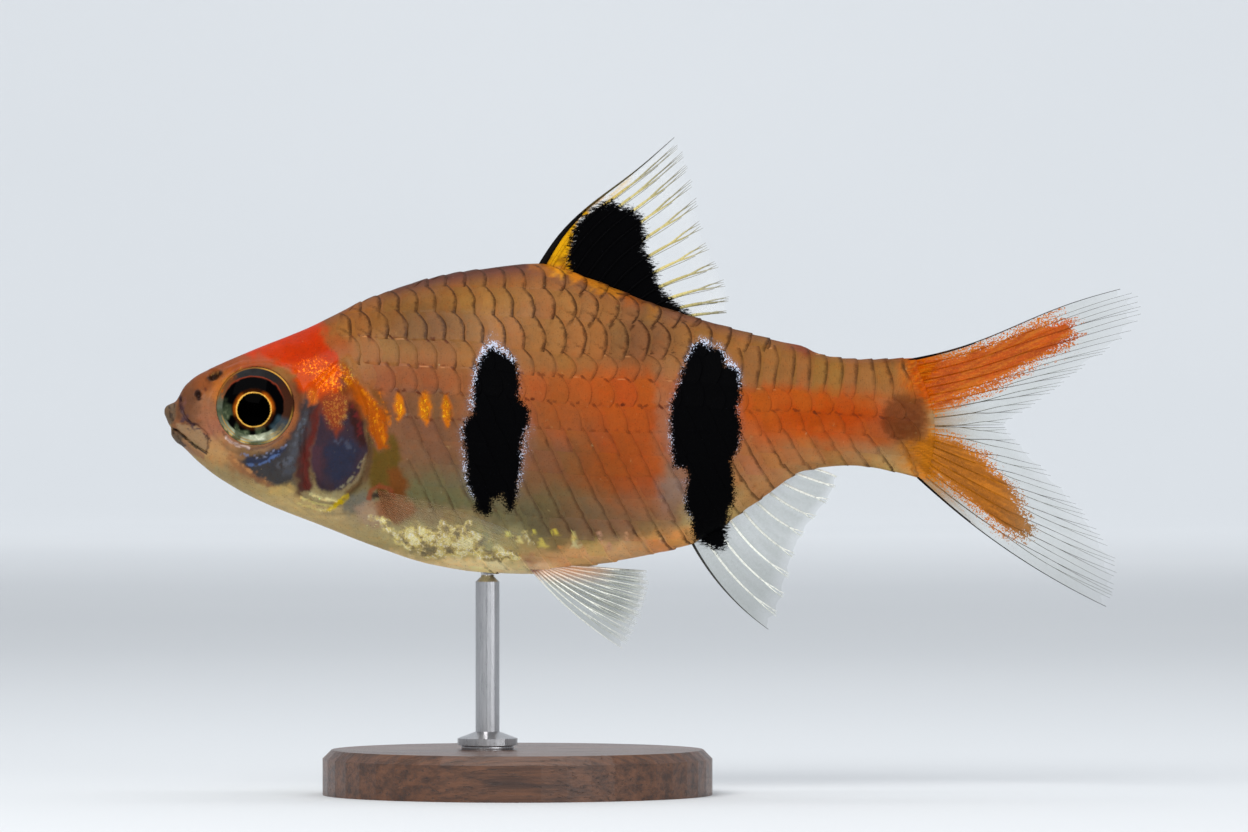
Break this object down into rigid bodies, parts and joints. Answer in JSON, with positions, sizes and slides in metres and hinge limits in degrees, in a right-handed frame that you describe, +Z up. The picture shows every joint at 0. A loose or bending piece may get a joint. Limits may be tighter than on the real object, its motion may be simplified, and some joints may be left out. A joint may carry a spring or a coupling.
{
  "type": "melon barb",
  "caption": "Small deep-bodied barb with a forked tail, in a level swimming pose on a round display stand with a short rod.",
  "frame": {"origin": "centre of the whole model's bounding box, on the floor under the stand", "axes": "-X towards the head, +X towards the tail, -Y towards the fish's left flank, +Z up"},
  "size_m": [0.065, 0.026, 0.0437],
  "materials": {
    "skin": "wet scaled skin, orange with two black bars",
    "gill_cover": "wet, violet-blue sheen with orange-red above",
    "eye": "clear and glossy over black and gold",
    "fin": "clear membrane with orange and pale rays",
    "stand_wood": "dark oiled wood",
    "stand_steel": "brushed"
  },
  "bodies": {
    "root": {"head": "skin", "trunk": "skin", "tail_stalk": "skin", "gill_cover_left": "gill_cover", "gill_cover_right": "gill_cover", "eye_left": "eye", "eye_right": "eye", "dorsal_fin": "fin", "anal_fin": "fin", "tail_fin_upper": "fin", "tail_fin_lower": "fin", "pelvic_fin_left": "fin", "pelvic_fin_right": "fin", "pectoral_fin_left": "fin", "pectoral_fin_right": "fin", "stand_base": "stand_wood", "stand_rod": "stand_steel"}
  },
  "joints": []
}
